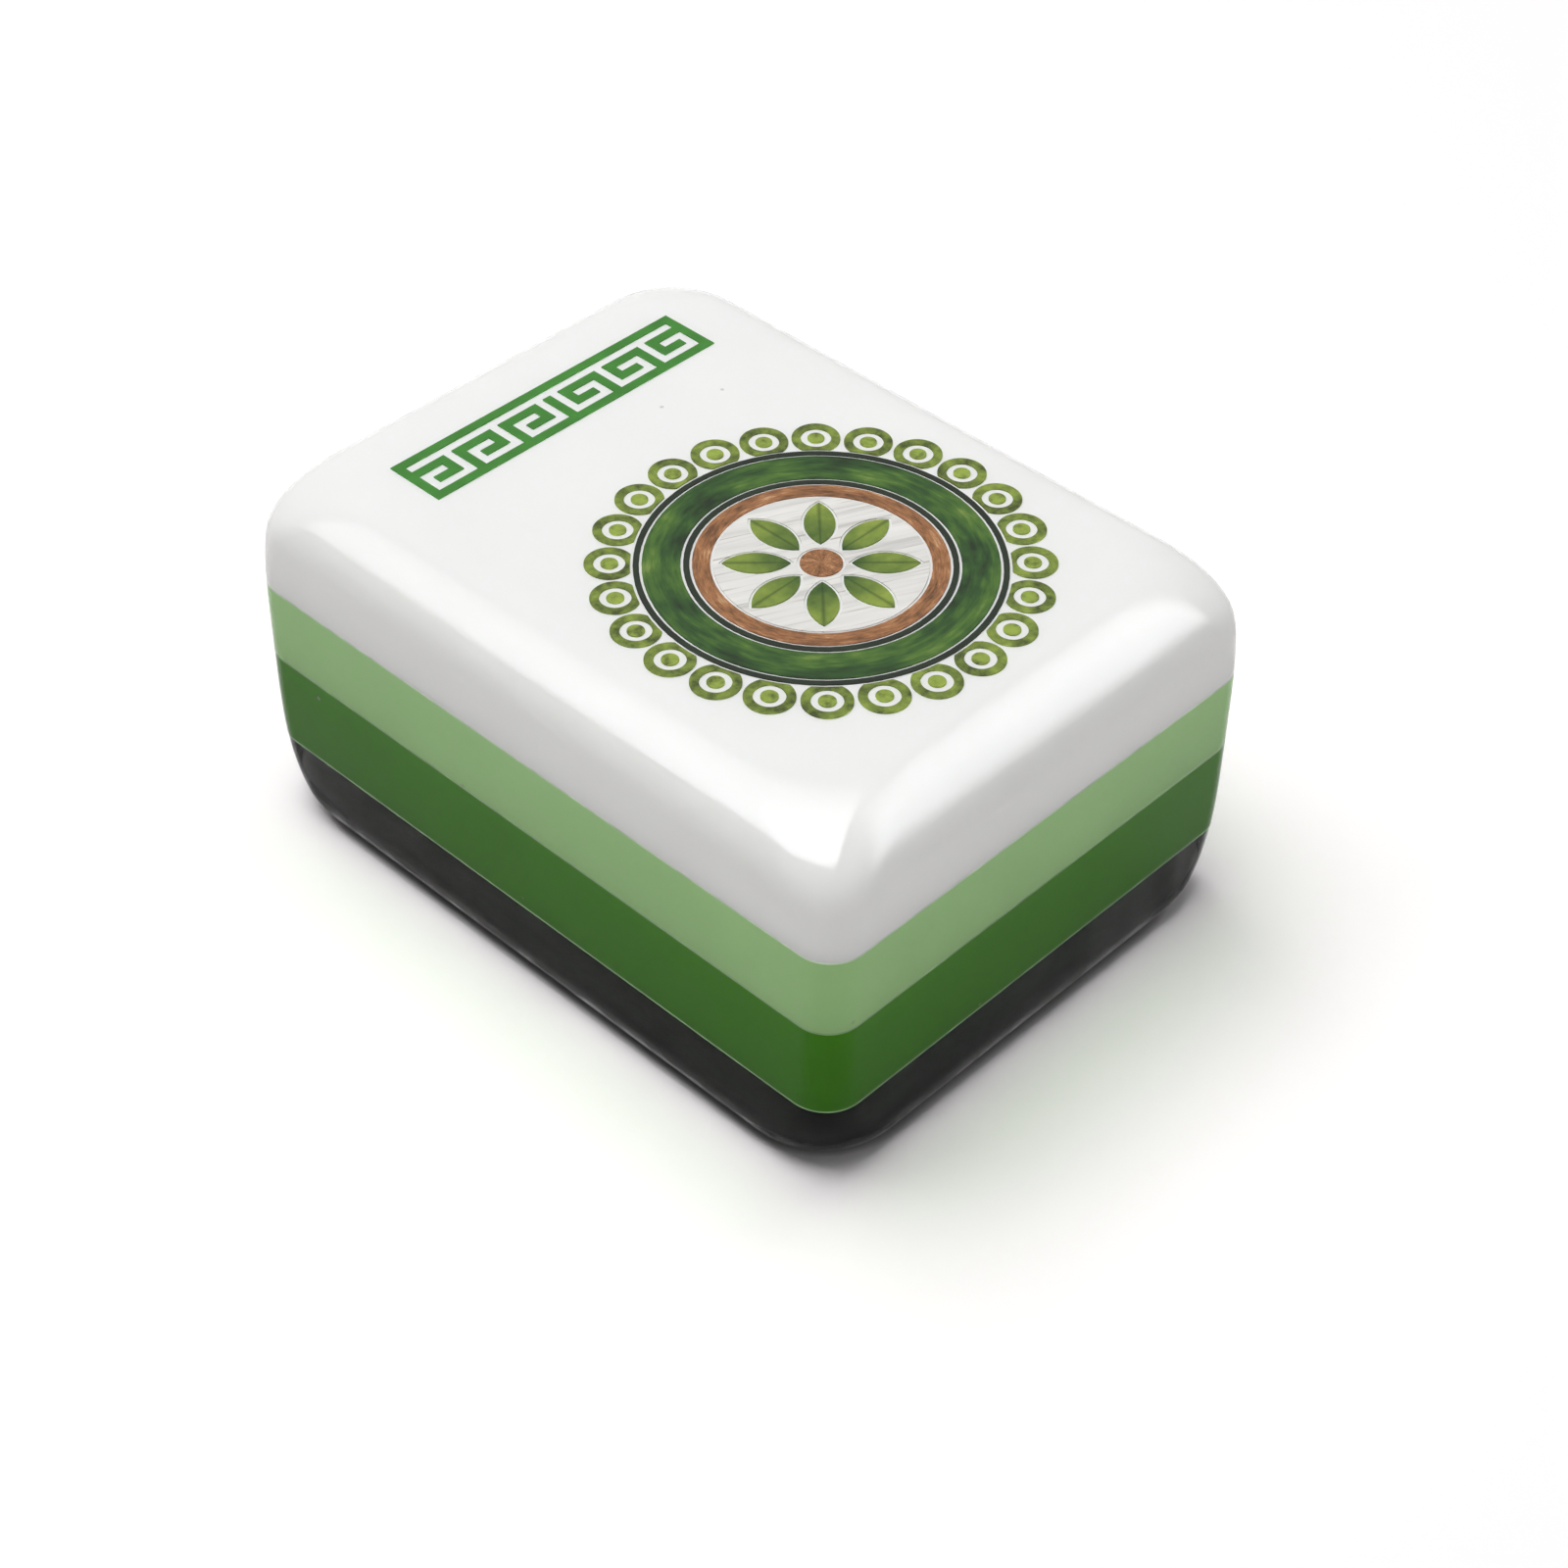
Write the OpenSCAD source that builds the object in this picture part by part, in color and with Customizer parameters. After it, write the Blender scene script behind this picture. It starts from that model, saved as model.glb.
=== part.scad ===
// Laminated mahjong tile: four bonded acrylic layers with a print on the white face.
// The tile lies face up. The origin is the centre of its underside, +Y is the upper end of the face.

/* [Tile] */
// Width of the tile, along X
tile_w = 22.3; // [20:0.1:28]
// Length of the tile, along Y
tile_l = 30; // [28:0.1:40]
// Radius of the upright corners of the two green layers
corner_r = 1.4; // [0.6:0.05:2.5]
// Thickness of the clear bond between one layer and the next
bond_t = 0.08; // [0.02:0.01:0.2]

/* [Face layer] */
// Thickness of the white layer
face_t = 4.7; // [3.5:0.1:7]
// Radius of the rounding along the edge of the face
face_edge_r = 2.6; // [1:0.1:3.4]
// Radius to which the upright corners open out at the face
face_corner_r = 4; // [1.5:0.1:5]

/* [Green layers] */
// Thickness of the pale green layer
pale_t = 3.26; // [1:0.02:6]
// Thickness of the dark green layer
dark_t = 3.9; // [1:0.1:6]

/* [Base layer] */
// Thickness of the smoke-tinted clear layer
base_t = 3.6; // [2:0.05:6]
// Radius of the rounding along the edge of the underside
base_edge_r = 1.25; // [0.2:0.05:1.5]
// Radius to which the upright corners open out at the underside
base_corner_r = 4.2; // [1.5:0.1:5]

/* [Print] */
// Thickness of the ink
ink_t = 0.05; // [0.02:0.01:0.15]
// Bare line between neighbouring inks
keyline = 0.1; // [0.05:0.01:0.2]
// Clearance from the round design to the rounding of the edge
print_margin = 0.15; // [0:0.05:1]

/* [Fret band] */
// Clearance from the ends of the band to the rounding of the edge
fret_side_margin = 1.5; // [0:0.1:3]
// Clearance from the band to the rounding of the edge at the upper end
fret_end_margin = 1.2; // [0:0.1:2]
// Least clearance from the band to the round design
fret_gap = 1; // [0.3:0.1:3]
// Number of cells in each half of the band
fret_cells = 3; // [1:1:4]

/* [Round design] */
// Number of scallops in the border
scallop_count = 24; // [12:1:36]
// Gap between one scallop and the next
scallop_gap = 0.14; // [0.05:0.01:0.3]
// Number of petals
petal_count = 8; // [4:1:12]
// Clearance from the petals to the hub and to the rim of the disc
petal_clear = 0.32; // [0.28:0.01:0.6]

/* [Hidden] */
$fn = 96;

// Steps round one upright corner, up the rounding of an edge, and up the plain side of a layer
corner_steps = 16;
edge_steps = 10;
side_steps = 4;

// Levels of the stack, from the underside up
base_bond_z = base_t;
dark_z = base_bond_z + bond_t;
middle_bond_z = dark_z + dark_t;
pale_z = middle_bond_z + bond_t;
face_bond_z = pale_z + pale_t;
face_z = face_bond_z + bond_t;
print_z = face_z + face_t;

// The upright corners open out both ways from the joint between the green layers, as a power of the distance
waist_z = middle_bond_z + bond_t / 2;
opening_power = 4;

// Flat part of the face, inside the rounding
flat_w = tile_w - 2 * face_edge_r;
flat_l = tile_l - 2 * face_edge_r;

// The band is drawn on a grid of its own line width: keys that stand on the foot of a frame, one bare row below
// its head. Bars are in grid steps from the middle of the band's foot, as [middle x, low y, width, height],
// and the key's own bars are those of the first key on one side.
key_rows = 5;
key_pitch = 6;
key_bar_shares = [[6, 0, 1, 5], [4, 4, 5, 1], [2, 2, 1, 3], [3, 2, 3, 1]];
fret_rows = key_rows + 2;
fret_columns = 2 * fret_cells * key_pitch + 1;
frame_bar_shares = [
    [0, 0, fret_columns, 1],
    [0, fret_rows - 1, fret_columns, 1],
    [0, 0, 1, key_rows],
    for (side = [-1, 1]) [side * fret_cells * key_pitch, key_rows, 1, 1]
];
fret_line = (flat_w - 2 * fret_side_margin) / fret_columns;
fret_y = flat_l / 2 - fret_end_margin - fret_rows * fret_line;

// The round design fills the flat part of the face below the band, and stands at its near end
near_y = print_margin - flat_l / 2;
design_r = min(flat_w / 2 - print_margin, (fret_y - fret_gap - near_y) / 2);
design_y = near_y + design_r;

// Border: scallops side by side, each a line round a bead, cut off by the rings inside
scallop_line_share = 0.37;
bead_share = 0.35;
border_share = 1.8;
scallop_turn = 180 / scallop_count;
scallop_r = (design_r * sin(scallop_turn) - scallop_gap / 2) / (1 + sin(scallop_turn));
scallop_ring_r = design_r - scallop_r;
border_in_r = design_r - border_share * scallop_r;

// Rings, from the border inwards, as shares of the radius that they fill
outline_share = 0.032;
ring_share = 0.205;
copper_share = 0.095;
core_r = border_in_r - keyline;
outline_w = outline_share * core_r;
ring_w = ring_share * core_r;
copper_w = copper_share * core_r;
ring_r = core_r - outline_w - keyline;
inner_line_r = ring_r - ring_w - keyline;
copper_r = inner_line_r - outline_w - keyline;

// Disc with its hub and petals, as shares of the disc and of the room from one petal to the next
hub_share = 0.2;
petal_w_share = 0.65;
disc_r = copper_r - copper_w - keyline;
hub_r = hub_share * disc_r;
petal_l = disc_r - hub_r - 2 * petal_clear;
petal_mid_r = hub_r + petal_clear + petal_l / 2;
petal_w = petal_w_share * 2 * petal_mid_r * sin(180 / petal_count);

// How far the rounding of radius r draws the sides in, at a depth below the end of the block
function drawn_in(depth, r) = depth < r ? r - sqrt(max(0, pow(r, 2) - pow(r - depth, 2))) : 0;

// Radius of the upright corners at a height
function corner_at(z) =
    let (
        end_z = z > waist_z ? print_z : 0,
        end_r = z > waist_z ? face_corner_r : base_corner_r
    )
    corner_r + (end_r - corner_r) * pow((z - waist_z) / (end_z - waist_z), opening_power);

// Outline of the block at a height, one corner after the other
function level(z) =
    let (
        r = corner_at(z),
        inset = drawn_in(z, base_edge_r) + drawn_in(print_z - z, face_edge_r),
        reach_x = tile_w / 2 - inset - r,
        reach_y = tile_l / 2 - inset - r
    )
    [
        for (corner = [0 : 3], step = [0 : corner_steps])
            let (
                turn = 90 * (corner + step / corner_steps),
                side_x = corner == 0 || corner == 3 ? 1 : -1,
                side_y = corner < 2 ? 1 : -1
            )
            [side_x * reach_x + r * cos(turn), side_y * reach_y + r * sin(turn), z]
    ];

// Heights up the plain side of a layer, and round an edge of radius r, each without its last one
function side_heights(low, high) = [for (step = [0 : side_steps - 1]) low + (high - low) * step / side_steps];
function edge_depths(r) = [for (step = [0 : edge_steps - 1]) r * (1 - cos(90 * step / edge_steps))];

// Slice of the block: a skin over the outlines at a rising list of heights
module slice(heights) {
    levels = [for (z = heights) level(z)];
    count = len(levels[0]);
    top = len(levels) - 1;
    sides = [
        for (row = [0 : top - 1], i = [0 : count - 1])
            let (
                a = row * count + i,
                b = row * count + (i + 1) % count
            )
            each [[a, a + count, b + count], [a, b + count, b]]
    ];
    floor_face = [for (i = [0 : count - 1]) i];
    roof_face = [for (i = [count - 1 : -1 : 0]) top * count + i];
    polyhedron(points = [for (one = levels) each one], faces = concat([floor_face, roof_face], sides));
}

// Film that fills the joint above one of the layers, flush with the sides of the block
module bond(z) {
    r = corner_at(z);
    translate([0, 0, z])
        linear_extrude(bond_t) {
            square([tile_w - 2 * r, tile_l], center = true);
            square([tile_w, tile_l - 2 * r], center = true);
            for (side_x = [-1, 1], side_y = [-1, 1])
                translate([side_x * (tile_w / 2 - r), side_y * (tile_l / 2 - r)])
                    circle(r);
        }
}

// Bar of the fret band, on its grid
module grid_bar(bar) {
    translate([bar[0] - bar[2] / 2, bar[1]])
        square([bar[2], bar[3]]);
}

// Ink laid on the face, in the round design's own place
module ink_on_design() {
    translate([0, design_y, print_z])
        linear_extrude(ink_t)
            children();
}

module ring(outer_r, w) {
    difference() {
        circle(outer_r);
        circle(outer_r - w);
    }
}

// Places of the scallops round the design
module round_border() {
    for (i = [0 : scallop_count - 1])
        rotate(360 * i / scallop_count)
            translate([0, scallop_ring_r])
                children();
}

// Petals drawn with two compass arcs each, standing clear of the hub, all grown by one amount
module petals(grow) {
    arc_r = (pow(petal_l, 2) + pow(petal_w, 2)) / (4 * petal_w);
    arc_x = arc_r - petal_w / 2;
    for (i = [0 : petal_count - 1])
        rotate(360 * i / petal_count)
            translate([0, petal_mid_r])
                intersection() {
                    translate([-arc_x, 0])
                        circle(arc_r + grow);
                    translate([arc_x, 0])
                        circle(arc_r + grow);
                }
}

module face_layer() {
    edge_z = print_z - face_edge_r;
    depths = edge_depths(face_edge_r);
    edge_heights = [for (i = [edge_steps - 1 : -1 : 0]) print_z - depths[i]];
    color("white")
        slice([each side_heights(face_z, edge_z), edge_z, each edge_heights]);
}

module face_bond() {
    color("gainsboro")
        bond(face_bond_z);
}

module pale_layer() {
    color("darkseagreen")
        slice([each side_heights(pale_z, face_bond_z), face_bond_z]);
}

module middle_bond() {
    color("gainsboro")
        bond(middle_bond_z);
}

module dark_layer() {
    color("darkolivegreen")
        slice([each side_heights(dark_z, middle_bond_z), middle_bond_z]);
}

module base_bond() {
    color("gainsboro")
        bond(base_bond_z);
}

module base_layer() {
    color("dimgray")
        slice([each edge_depths(base_edge_r), each side_heights(base_edge_r, base_t), base_t]);
}

module fret_print() {
    color("forestgreen")
        translate([0, fret_y, print_z])
            linear_extrude(ink_t)
                scale(fret_line) {
                    for (bar = frame_bar_shares)
                        grid_bar(bar);
                    for (side = [-1, 1], cell = [0 : fret_cells - 1], bar = key_bar_shares)
                        grid_bar([side * (cell * key_pitch + bar[0]), bar[1], bar[2], bar[3]]);
                }
}

module scallop_print() {
    color("olivedrab")
        ink_on_design()
            difference() {
                round_border()
                    ring(scallop_r, scallop_line_share * scallop_r);
                circle(border_in_r);
            }
}

module bead_print() {
    color("yellowgreen")
        ink_on_design()
            round_border()
                circle(bead_share * scallop_r);
}

module outline_print() {
    color("darkslategray")
        ink_on_design() {
            ring(core_r, outline_w);
            ring(inner_line_r, outline_w);
        }
}

module ring_print() {
    color("darkgreen")
        ink_on_design()
            ring(ring_r, ring_w);
}

module copper_print() {
    color("sienna")
        ink_on_design() {
            ring(copper_r, copper_w);
            circle(hub_r);
        }
}

module disc_print() {
    color("ivory")
        ink_on_design()
            difference() {
                circle(disc_r);
                circle(hub_r + keyline);
                petals(keyline);
            }
}

module petal_print() {
    color("green")
        ink_on_design()
            petals(0);
}

face_layer();
face_bond();
pale_layer();
middle_bond();
dark_layer();
base_bond();
base_layer();
fret_print();
scallop_print();
bead_print();
outline_print();
ring_print();
copper_print();
disc_print();
petal_print();
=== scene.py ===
"""Finishes a laminated game tile on a studio stage: polished acrylic, glue lines and a printed face."""
import math

import bmesh
import bpy
from bpy.props import FloatProperty, FloatVectorProperty, IntProperty, PointerProperty
from bpy.types import NodeSocket, Operator, Panel, PropertyGroup
from mathutils import Matrix, Vector


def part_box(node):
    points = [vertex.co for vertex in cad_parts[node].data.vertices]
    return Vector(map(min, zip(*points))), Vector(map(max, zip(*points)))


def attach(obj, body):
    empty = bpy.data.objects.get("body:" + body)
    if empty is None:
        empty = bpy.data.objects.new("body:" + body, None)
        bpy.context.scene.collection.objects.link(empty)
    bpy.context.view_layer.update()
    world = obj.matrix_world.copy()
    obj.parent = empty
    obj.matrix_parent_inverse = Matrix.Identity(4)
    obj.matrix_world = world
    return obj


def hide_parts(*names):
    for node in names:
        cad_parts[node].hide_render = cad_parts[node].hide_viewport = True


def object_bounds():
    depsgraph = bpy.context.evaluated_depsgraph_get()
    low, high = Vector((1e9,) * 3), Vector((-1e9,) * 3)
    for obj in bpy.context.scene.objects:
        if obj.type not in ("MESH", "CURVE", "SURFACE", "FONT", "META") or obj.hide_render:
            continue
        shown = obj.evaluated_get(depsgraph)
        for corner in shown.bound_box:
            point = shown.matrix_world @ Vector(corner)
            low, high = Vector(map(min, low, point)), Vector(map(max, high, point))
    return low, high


bl_info = {
    "name": "Laminated game tile",
    "version": (1, 0, 0),
    "blender": (4, 5, 0),
    "location": "View3D > Sidebar > Tile",
    "description": "Models and finishes the layers, the glue lines and the print of a laminated game tile",
    "category": "Object",
}

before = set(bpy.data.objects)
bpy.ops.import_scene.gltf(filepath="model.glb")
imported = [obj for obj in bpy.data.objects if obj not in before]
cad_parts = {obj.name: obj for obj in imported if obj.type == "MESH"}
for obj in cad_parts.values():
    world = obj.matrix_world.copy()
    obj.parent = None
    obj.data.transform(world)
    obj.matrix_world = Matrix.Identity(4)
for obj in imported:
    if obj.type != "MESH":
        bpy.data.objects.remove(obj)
CAD_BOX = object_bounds()

MM = 0.001
WIDTH = CAD_BOX[1].x - CAD_BOX[0].x
LENGTH = CAD_BOX[1].y - CAD_BOX[0].y
FACE_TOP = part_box("face_layer")[1].z
WAIST = (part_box("middle_bond")[0].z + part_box("middle_bond")[1].z) / 2
DESIGN_LOW, DESIGN_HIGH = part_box("scallop_print")
DESIGN_CENTRE = (DESIGN_LOW + DESIGN_HIGH) / 2

# How near to a height a point has to be to belong to the outline at that height
SAME_LEVEL = 0.0005 * MM
# Power of the distance from the waist by which the upright corners open out
OPENING_POWER = 4
# Angle past which an edge stays crisp
CRISP_EDGE = math.radians(40)
# Refractive index that gives the layers their faint polish
POLISH_INDEX = 1.15
# Share of white painted into an ink as its sheen
PAINTED_INK_SHEEN = 0.035
# How deep the marks in the polish and the grain of an ink are
POLISH_DEPTH = 0.002 * MM
INK_DEPTH = 0.004 * MM
# How far dust fills the nicks
NICK_SHARE = 0.6
# Coat weight of the painted highlight line round the smoke slab
PAINTED_LINE_COAT = 0.35
# Scale of the painted highlight streaks at the ends of the smoke slab, long up and down
PAINTED_STREAK_SCALE = (700, 700, 60)
# How far the slab turns away, from 0 to 1, where the painted highlight streaks start and where they are full
PAINTED_STREAK_START = 0.57
PAINTED_STREAK_FULL = 0.8
# Shares of open sky over the floor at which the painted contact shadow is full, and at which it has gone
PAINTED_SHADOW_FULL = 0.4
PAINTED_SHADOW_GONE = 0.9
# Where a card's light comes up and goes down, as shares of its width and then of its length
SIDE_CARD_FADE = {"rise": 0.001, "fall": 0.35, "left": 0.95, "right": 0.999}
END_CARD_FADE = {"rise": 0.3, "fall": 0.6, "left": 0.25, "right": 0.75}
# How near to the camera things are still seen
CLIP_START = 10 * MM


# Properties that a user would change


def size(name, description, default):
    """A length, shown in the scene's units."""
    return FloatProperty(name=name, description=description, default=default, unit="LENGTH", precision=5)


def colour(name, description, default):
    """A linear colour."""
    return FloatVectorProperty(
        name=name, description=description, default=default, subtype="COLOR", size=3, min=0, max=1
    )


class TileShape(PropertyGroup):
    """Sizes of the block that the layers are slices of."""

    waist_corner: size("Waist corner", "Radius of the upright corners between the green layers", 1.4 * MM)
    face_corner: size("Face corner", "Radius of the upright corners at the face", 4 * MM)
    base_corner: size("Base corner", "Radius of the upright corners at the underside", 4.2 * MM)
    face_edge: size("Face edge", "Radius of the rounding along the edge of the face", 2.6 * MM)
    base_edge: size("Base edge", "Radius of the rounding along the edge of the underside", 1.25 * MM)
    flat_border: size("Flat border", "Width of the strip of faces that keeps a flat end flat", 0.3 * MM)
    # Painted highlight line on the smoke slab
    bright_line: size("Bright line", "Half the width of the line where the lower rounding starts", 0.1 * MM)
    wetting: size("Wetting", "How far the smoke slab reaches into its glue line", 0.02 * MM)
    # The next two set how far the painted light and shade reach from the joints
    white_bleed: size("White bleed", "How far from a joint the white slab's tone changes", 0.8 * MM)
    green_bleed: size("Green bleed", "How far from a joint a green sheet's tone changes", 1 * MM)
    corner_segments: IntProperty(
        name="Corner segments", description="Faces round a corner", default=20, min=4
    )
    edge_segments: IntProperty(name="Edge segments", description="Faces round an edge", default=16, min=4)
    side_segments: IntProperty(name="Side segments", description="Faces up a plain side", default=6, min=1)


class TileColours(PropertyGroup):
    """Colours of the acrylic, the glue lines and the inks."""

    white: colour("White", "White acrylic", (0.89, 0.895, 0.88))
    pale: colour("Pale green", "Pale green acrylic", (0.33, 0.558, 0.237))
    dark: colour("Dark green", "Dark green acrylic", (0.035, 0.158, 0.003))
    smoke: colour("Smoke", "What the smoke-tinted acrylic lets through", (0.25, 0.25, 0.24))
    smoke_density: FloatProperty(
        name="Smoke density", description="How fast the smoke tint deepens, per metre", default=1300, min=0
    )
    nick: colour("Nick", "Dust in the small nicks of the polish", (0.24, 0.23, 0.19))
    glue_edge: colour("Glue edge", "Edge of the glue line over the smoke layer", (0.14, 0.28, 0.1))
    leaf: colour("Leaf ink", "Ink of the fret band", (0.045, 0.225, 0.025))
    olive: colour("Olive ink", "Ink of the scallops", (0.15, 0.21, 0.03))
    lime: colour("Lime ink", "Ink of the beads", (0.32, 0.42, 0.06))
    night: colour("Night ink", "Ink of the fine circles", (0.012, 0.022, 0.01))
    deep: colour("Deep ink", "Ink of the broad ring", (0.025, 0.085, 0.012))
    copper: colour("Copper ink", "Ink of the inner ring and the hub", (0.3, 0.13, 0.05))
    ivory: colour("Ivory ink", "Ink of the disc", (0.76, 0.75, 0.72))


class TileStage(PropertyGroup):
    """Camera, lamps and floor."""

    aim: FloatVectorProperty(
        name="Aim", description="Point that the camera looks at", subtype="XYZ", unit="LENGTH", size=3,
        default=(0.456 * MM, -1.76 * MM, 3.562 * MM),
    )
    azimuth: FloatProperty(
        name="Azimuth", description="Turn of the camera round the tile, from the near end of the face",
        subtype="ANGLE", default=math.radians(-46.6),
    )
    elevation: FloatProperty(
        name="Elevation", description="Height of the camera over the floor, as an angle",
        subtype="ANGLE", default=math.radians(42.17),
    )
    roll: FloatProperty(
        name="Roll", description="Turn of the camera about its own axis", subtype="ANGLE",
        default=math.radians(0.84),
    )
    distance: size("Distance", "From the camera to the point that it looks at", 119.1 * MM)
    lens: FloatProperty(name="Lens", description="Focal length", default=71.2, unit="CAMERA")
    key_tilt: FloatVectorProperty(
        name="Key tilt", description="Direction to the key lamp, for one unit of height",
        subtype="XYZ", size=3, default=(-0.06, 0.21, 1),
    )
    key_distance: size("Key distance", "From the tile to the key lamp", 0.5)
    key_width: size("Key width", "Side of the key lamp's soft box", 0.4)
    key_power: FloatProperty(
        name="Key power", description="Power of the key lamp", unit="POWER", default=2.44
    )
    fill_level: FloatProperty(
        name="Fill level", description="Level of the light from all round", default=0.12
    )
    glow_level: FloatProperty(
        name="Glow level", description="Level of the light from low down on the near side", default=0.84
    )
    glow_side: FloatVectorProperty(
        name="Glow side", description="Direction that the low light comes from", subtype="XYZ", size=3,
        default=(-0.16, -0.987, 0),
    )
    glow_spread: FloatVectorProperty(
        name="Glow spread", description="How far towards its side the low light starts and is full", size=2,
        default=(0, 0.4),
    )
    glow_height: FloatVectorProperty(
        name="Glow height", description="Up to where the low light is full, and where it ends", size=2,
        default=(0.15, 0.45),
    )
    side_card_height: size("Side card height", "Height of the card over the long near side", 0.4)
    side_card_place: FloatVectorProperty(
        name="Side card place", description="Middle of that card, for one unit of its height", size=2,
        default=(-1.428, 1.433),
    )
    side_card_size: FloatVectorProperty(
        name="Side card size", description="Length and width of that card, for one unit of its height",
        size=2, default=(4.4, 1.25),
    )
    side_card_turn: FloatProperty(
        name="Side card turn", description="Turn of that card about the upright axis", subtype="ANGLE",
        default=math.radians(-48.7),
    )
    side_card_level: FloatProperty(
        name="Side card level", description="Brightness of the card over the long near side", default=52
    )
    end_card_direction: FloatVectorProperty(
        name="End card direction", description="Direction from the tile to the card over its near end",
        subtype="XYZ", size=3, default=(0.538, -0.53, 0.656),
    )
    end_card_distance: size("End card distance", "From the tile to the card over its near end", 0.4)
    end_card_size: FloatVectorProperty(
        name="End card size", description="Width and height of that card, for one unit of its distance",
        size=2, default=(1.1, 1.73),
    )
    end_card_level: FloatProperty(
        name="End card level", description="Brightness of the card over the near end", default=34
    )
    floor_width: size("Floor width", "Side of the floor", 4)
    floor_gap: size("Floor gap", "Air between the underside and the floor", 0.02 * MM)
    floor_tone: FloatProperty(
        name="Floor tone", description="How much light the floor gives back", default=0.85
    )
    floor_shown: FloatProperty(
        name="Floor shown", description="Tone of the floor as it is seen", default=1.11
    )
    floor_fade: FloatVectorProperty(
        name="Floor fade", description="From where to where the floor turns into plain white, as it is seen",
        unit="LENGTH", size=2, default=(90 * MM, 200 * MM),
    )
    # Reach and depth of the painted contact shadow that darkens the floor's colour next to the tile
    contact_reach: size("Contact reach", "How far out the tile darkens the floor that it lies on", 0.5 * MM)
    contact_tone: FloatProperty(
        name="Contact tone", description="Share of the floor's tone left close to the tile", default=0.25
    )
    floor_tint: colour("Floor tint", "Tint of the floor as it is seen", (1, 0.97, 0.977))


# Modelling


def deselect_all():
    """Leaves nothing selected, in object mode."""
    if bpy.context.object and bpy.context.object.mode != "OBJECT":
        bpy.ops.object.mode_set(mode="OBJECT")
    bpy.ops.object.select_all(action="DESELECT")


def corner_radius(shape, z):
    """Radius of the upright corners at a height: they open out both ways from the waist."""
    end_z, end_radius = (FACE_TOP, shape.face_corner) if z > WAIST else (0, shape.base_corner)
    opening = abs((z - WAIST) / (end_z - WAIST)) ** OPENING_POWER
    return shape.waist_corner + (end_radius - shape.waist_corner) * opening


def drawn_in(depth, radius):
    """How far a rounding draws the sides in, at a depth below the end of the block."""
    if depth >= radius:
        return 0
    return radius - math.sqrt(max(0, radius**2 - (radius - depth) ** 2))


def side_heights(shape, low, high):
    """Heights up a plain side, both ends included."""
    return [low + (high - low) * step / shape.side_segments for step in range(shape.side_segments + 1)]


def edge_depths(shape, radius):
    """Depths below the end of the block round an edge, from the end to the plain side."""
    turn = math.pi / 2 / shape.edge_segments
    return [radius * (1 - math.cos(turn * step)) for step in range(shape.edge_segments + 1)]


def outline_plane(shape, z):
    """Turns the unit plane just added into the block's outline at a height, with no face."""
    inset = drawn_in(z, shape.base_edge) + drawn_in(FACE_TOP - z, shape.face_edge)
    bpy.ops.transform.resize(value=(WIDTH - 2 * inset, LENGTH - 2 * inset, 1))
    bpy.ops.transform.translate(value=(0, 0, z))
    bpy.ops.mesh.bevel(affect="VERTICES", offset=corner_radius(shape, z), segments=shape.corner_segments)
    bpy.ops.mesh.delete(type="ONLY_FACE")


def select_level(z):
    """Selects the outline at a height."""
    bpy.ops.mesh.select_all(action="DESELECT")
    mesh = bmesh.from_edit_mesh(bpy.context.object.data)
    for vert in mesh.verts:
        vert.select = abs(vert.co.z - z) < SAME_LEVEL
    mesh.select_flush(True)
    bmesh.update_edit_mesh(bpy.context.object.data)


def close_end(shape, z):
    """Closes an end with a flat face inside a narrow border."""
    select_level(z)
    bpy.ops.mesh.edge_face_add()
    bpy.ops.mesh.inset(thickness=shape.flat_border)


def loft(name, shape, heights):
    """Models one layer: the block's outlines at rising heights, bridged and closed at both ends."""
    deselect_all()
    bpy.ops.mesh.primitive_plane_add(size=1, enter_editmode=True)
    piece = bpy.context.object
    piece.name = piece.data.name = name
    bpy.ops.mesh.select_mode(type="VERT")
    outline_plane(shape, heights[0])
    for z in heights[1:]:
        bpy.ops.mesh.primitive_plane_add(size=1)
        outline_plane(shape, z)
    bpy.ops.mesh.select_all(action="SELECT")
    bpy.ops.mesh.bridge_edge_loops()
    close_end(shape, heights[0])
    close_end(shape, heights[-1])
    bpy.ops.mesh.select_all(action="SELECT")
    bpy.ops.mesh.normals_make_consistent(inside=False)
    bpy.ops.object.mode_set(mode="OBJECT")
    bpy.ops.object.shade_smooth_by_angle(angle=CRISP_EDGE)
    return piece


def finish_layer(piece, node, material):
    """Puts a layer in the place of its solid, with its finish."""
    piece.data.materials.clear()
    piece.data.materials.append(material)
    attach(piece, "root")
    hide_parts(node)


def dress(node, material):
    """Gives a solid that stays a finish of its own."""
    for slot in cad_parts[node].material_slots:
        slot.material = material


# Node helpers


def add(tree, kind, inputs=None, **settings):
    """Adds a node with its settings, and sets or links its inputs."""
    node = tree.nodes.new(kind)
    for name, value in settings.items():
        setattr(node, name, value)
    for name, value in (inputs or {}).items():
        if isinstance(value, NodeSocket):
            tree.links.new(value, node.inputs[name])
        else:
            node.inputs[name].default_value = value
    return node


def maths(tree, operation, *values):
    """Output of a Math node."""
    return add(tree, "ShaderNodeMath", dict(enumerate(values)), operation=operation).outputs[0]


def remap(tree, value, low, high, to_low=0.0, to_high=1.0):
    """Output of a Map Range node, clamped."""
    inputs = {"Value": value, "From Min": low, "From Max": high, "To Min": to_low, "To Max": to_high}
    return add(tree, "ShaderNodeMapRange", inputs).outputs["Result"]


def mix(tree, factor, first, second, blend="MIX"):
    """Colour output of a Mix node."""
    node = add(tree, "ShaderNodeMix", data_type="RGBA", blend_type=blend)
    for socket, value in (("Factor_Float", factor), ("A_Color", first), ("B_Color", second)):
        target = next(one for one in node.inputs if one.identifier == socket)
        if isinstance(value, NodeSocket):
            tree.links.new(value, target)
        elif socket == "Factor_Float":
            target.default_value = value
        else:
            target.default_value = (*value, 1)
    return next(one for one in node.outputs if one.identifier == "Result_Color")


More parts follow.
